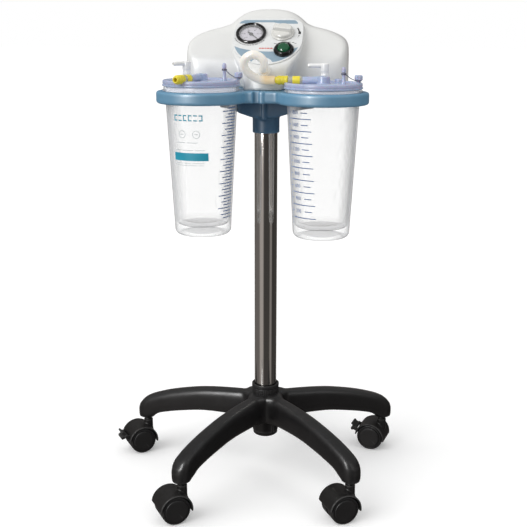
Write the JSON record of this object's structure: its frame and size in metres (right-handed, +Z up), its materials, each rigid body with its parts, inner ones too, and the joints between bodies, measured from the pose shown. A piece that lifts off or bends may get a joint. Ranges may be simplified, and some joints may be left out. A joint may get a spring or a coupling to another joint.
{
  "type": "trolley suction pump",
  "caption": "Hospital suction pump with a sloped control panel and two clear canisters in a blue ring holder, on a chrome pole with a black star base on castors.",
  "frame": {"origin": "on the floor, at the middle of the bounding box of the whole trolley", "axes": "+Z up, the control panel and the canisters face -Y, +X to the right of someone who looks at the panel"},
  "size_m": [0.5282, 0.5228, 0.8335],
  "materials": {
    "steel": "plain steel",
    "castor_wheel": "matt black nylon",
    "castor_plastic": "fine textured black",
    "base_plastic": "satin black glass-filled nylon",
    "pole_chrome": "bright chromed tube",
    "bracket_navy": "satin navy",
    "holder_blue": "semi-gloss light blue",
    "jar_clear": "clear polycarbonate",
    "liner_film": "thin crinkled clear film",
    "lid_lavender": "satin lavender",
    "white_fitting": "white",
    "clear_fitting": "translucent",
    "yellow_fitting": "bright yellow",
    "casing_white": "fine textured warm white",
    "panel_print": "white printed face with blue-grey bands",
    "instrument_black": "black",
    "needle_black": "black",
    "gauge_glass": "clear",
    "knob_white": "white",
    "switch_green": "translucent green",
    "aluminium_parts": "cast",
    "hose_silicone": "translucent silicone"
  },
  "bodies": {
    "trolley": {"base_star": "base_plastic", "hub_plug": "base_plastic", "pole_collar": "base_plastic", "pole": "pole_chrome", "castor_rear_stem": "steel", "castor_left_stem": "steel", "castor_front_left_stem": "steel", "castor_front_right_stem": "steel", "castor_right_stem": "steel", "pole_bracket": "bracket_navy", "bracket_screw": "steel", "canister_holder": "holder_blue", "casing_cover": "casing_white", "casing_base": "casing_white", "control_panel": "panel_print", "gauge_case": "instrument_black", "gauge_lens": "gauge_glass", "regulator_valve": "aluminium_parts", "switch_bezel": "instrument_black", "hose_nozzle": "clear_fitting", "power_inlet": "instrument_black", "pump_motor": "aluminium_parts", "pump_cylinder": "aluminium_parts", "link_hose": "hose_silicone"},
    "castor_rear": {"castor_rear_hood": "castor_plastic"},
    "castor_rear_wheel_a": {"castor_rear_wheel_a": "castor_wheel"},
    "castor_rear_wheel_b": {"castor_rear_wheel_b": "castor_wheel"},
    "castor_left": {"castor_left_hood": "castor_plastic"},
    "castor_left_wheel_a": {"castor_left_wheel_a": "castor_wheel"},
    "castor_left_wheel_b": {"castor_left_wheel_b": "castor_wheel"},
    "castor_left_brake": {"castor_left_brake_pedal": "castor_plastic"},
    "castor_front_left": {"castor_front_left_hood": "castor_plastic"},
    "castor_front_left_wheel_a": {"castor_front_left_wheel_a": "castor_wheel"},
    "castor_front_left_wheel_b": {"castor_front_left_wheel_b": "castor_wheel"},
    "castor_front_right": {"castor_front_right_hood": "castor_plastic"},
    "castor_front_right_wheel_a": {"castor_front_right_wheel_a": "castor_wheel"},
    "castor_front_right_wheel_b": {"castor_front_right_wheel_b": "castor_wheel"},
    "castor_right": {"castor_right_hood": "castor_plastic"},
    "castor_right_wheel_a": {"castor_right_wheel_a": "castor_wheel"},
    "castor_right_wheel_b": {"castor_right_wheel_b": "castor_wheel"},
    "castor_right_brake": {"castor_right_brake_pedal": "castor_plastic"},
    "left_canister": {"left_jar": "jar_clear"},
    "left_lid_unit": {"left_lid": "lid_lavender", "left_liner": "liner_film", "left_port_adapter": "clear_fitting", "left_connector": "yellow_fitting", "left_port_cap": "lid_lavender"},
    "left_elbow": {"left_elbow": "white_fitting"},
    "right_canister": {"right_jar": "jar_clear"},
    "right_lid_unit": {"right_lid": "lid_lavender", "right_liner": "liner_film", "right_port_adapter": "clear_fitting", "right_connector": "yellow_fitting", "right_port_cap": "lid_lavender"},
    "right_elbow": {"right_elbow": "white_fitting"},
    "regulator_knob": {"regulator_knob": "knob_white"},
    "switch": {"switch_rocker": "switch_green"},
    "gauge_needle": {"gauge_needle": "needle_black"},
    "crank": {"crank_disc": "steel"},
    "piston_rod": {"piston_rod": "aluminium_parts"}
  },
  "joints": [
    {"name": "castor_rear_swivel", "type": "hinge", "parent": "trolley", "child": "castor_rear", "pos_m": [-0.0014, 0.23415, 0.06], "axis": [0, 0, 1], "continuous": true},
    {"name": "castor_rear_wheel_a_spin", "type": "hinge", "parent": "castor_rear", "child": "castor_rear_wheel_a", "pos_m": [-0.01809, 0.22741, 0.025], "axis": [0.3746, -0.9272, 0], "continuous": true},
    {"name": "castor_rear_wheel_b_spin", "type": "hinge", "parent": "castor_rear", "child": "castor_rear_wheel_b", "pos_m": [-0.01809, 0.22741, 0.025], "axis": [0.3746, -0.9272, 0], "continuous": true},
    {"name": "castor_left_swivel", "type": "hinge", "parent": "trolley", "child": "castor_left", "pos_m": [-0.20503, 0.03887, 0.06], "axis": [0, 0, 1], "continuous": true},
    {"name": "castor_left_wheel_a_spin", "type": "hinge", "parent": "castor_left", "child": "castor_left_wheel_a", "pos_m": [-0.22004, 0.02894, 0.025], "axis": [0.5519, -0.8339, 0], "continuous": true},
    {"name": "castor_left_wheel_b_spin", "type": "hinge", "parent": "castor_left", "child": "castor_left_wheel_b", "pos_m": [-0.22004, 0.02894, 0.025], "axis": [0.5519, -0.8339, 0], "continuous": true},
    {"name": "castor_left_brake_press", "type": "hinge", "parent": "castor_left", "child": "castor_left_brake", "pos_m": [-0.24653, 0.01141, 0.03656], "axis": [0.5519, -0.8339, 0], "range_deg": [0, 24]},
    {"name": "castor_front_left_swivel", "type": "hinge", "parent": "trolley", "child": "castor_front_left", "pos_m": [-0.08224, -0.21514, 0.06], "axis": [0, 0, 1], "continuous": true},
    {"name": "castor_front_left_wheel_a_spin", "type": "hinge", "parent": "castor_front_left", "child": "castor_front_left_wheel_a", "pos_m": [-0.09742, -0.22481, 0.025], "axis": [0.5373, -0.8434, 0], "continuous": true},
    {"name": "castor_front_left_wheel_b_spin", "type": "hinge", "parent": "castor_front_left", "child": "castor_front_left_wheel_b", "pos_m": [-0.09742, -0.22481, 0.025], "axis": [0.5373, -0.8434, 0], "continuous": true},
    {"name": "castor_front_right_swivel", "type": "hinge", "parent": "trolley", "child": "castor_front_right", "pos_m": [0.19729, -0.17685, 0.06], "axis": [0, 0, 1], "continuous": true},
    {"name": "castor_front_right_wheel_a_spin", "type": "hinge", "parent": "castor_front_right", "child": "castor_front_right_wheel_a", "pos_m": [0.18147, -0.18544, 0.025], "axis": [0.4772, -0.8788, 0], "continuous": true},
    {"name": "castor_front_right_wheel_b_spin", "type": "hinge", "parent": "castor_front_right", "child": "castor_front_right_wheel_b", "pos_m": [0.18147, -0.18544, 0.025], "axis": [0.4772, -0.8788, 0], "continuous": true},
    {"name": "castor_right_swivel", "type": "hinge", "parent": "trolley", "child": "castor_right", "pos_m": [0.24725, 0.10083, 0.06], "axis": [0, 0, 1], "continuous": true},
    {"name": "castor_right_wheel_a_spin", "type": "hinge", "parent": "castor_right", "child": "castor_right_wheel_a", "pos_m": [0.22983, 0.10533, 0.025], "axis": [-0.2504, -0.9681, 0], "continuous": true},
    {"name": "castor_right_wheel_b_spin", "type": "hinge", "parent": "castor_right", "child": "castor_right_wheel_b", "pos_m": [0.22983, 0.10533, 0.025], "axis": [-0.2504, -0.9681, 0], "continuous": true},
    {"name": "castor_right_brake_press", "type": "hinge", "parent": "castor_right", "child": "castor_right_brake", "pos_m": [0.19908, 0.11329, 0.03656], "axis": [-0.2504, -0.9681, 0], "range_deg": [0, 24]},
    {"name": "left_canister_lift", "type": "slide", "parent": "trolley", "child": "left_canister", "axis": [0, 0, 1], "range_m": [0, 0.26]},
    {"name": "left_lid_lift", "type": "slide", "parent": "left_canister", "child": "left_lid_unit", "axis": [0, 0, 1], "range_m": [0, 0.24]},
    {"name": "left_elbow_swivel", "type": "hinge", "parent": "left_lid_unit", "child": "left_elbow", "pos_m": [-0.09664, -0.05005, 0.7285], "axis": [0, 0, 1], "continuous": true},
    {"name": "right_canister_lift", "type": "slide", "parent": "trolley", "child": "right_canister", "axis": [0, 0, 1], "range_m": [0, 0.26]},
    {"name": "right_lid_lift", "type": "slide", "parent": "right_canister", "child": "right_lid_unit", "axis": [0, 0, 1], "range_m": [0, 0.24]},
    {"name": "right_elbow_swivel", "type": "hinge", "parent": "right_lid_unit", "child": "right_elbow", "pos_m": [0.13267, -0.03163, 0.7255], "axis": [0, 0, 1], "continuous": true},
    {"name": "regulator_turn", "type": "hinge", "parent": "trolley", "child": "regulator_knob", "pos_m": [0.05618, 0.02414, 0.79296], "axis": [0, -0.6293, 0.7771], "range_deg": [-60, 210]},
    {"name": "switch_rock", "type": "hinge", "parent": "trolley", "child": "switch", "pos_m": [0.06168, -0.01006, 0.76527], "axis": [1, 0, 0], "range_deg": [-16, 0]},
    {"name": "gauge_sweep", "type": "hinge", "parent": "trolley", "child": "gauge_needle", "pos_m": [0.00168, 0.02258, 0.7917], "axis": [0, -0.6293, 0.7771], "range_deg": [0, 268]},
    {"name": "crank_spin", "type": "hinge", "parent": "trolley", "child": "crank", "pos_m": [0.00717, 0.08237, 0.742], "axis": [1, 0, 0], "continuous": true},
    {"name": "rod_stay_upright", "type": "hinge", "parent": "crank", "child": "piston_rod", "pos_m": [0.01568, 0.08237, 0.746], "axis": [1, 0, 0], "continuous": true}
  ],
  "couplings": [
    {"joint": "rod_stay_upright", "follows": "crank_spin", "ratio": -1}
  ]
}
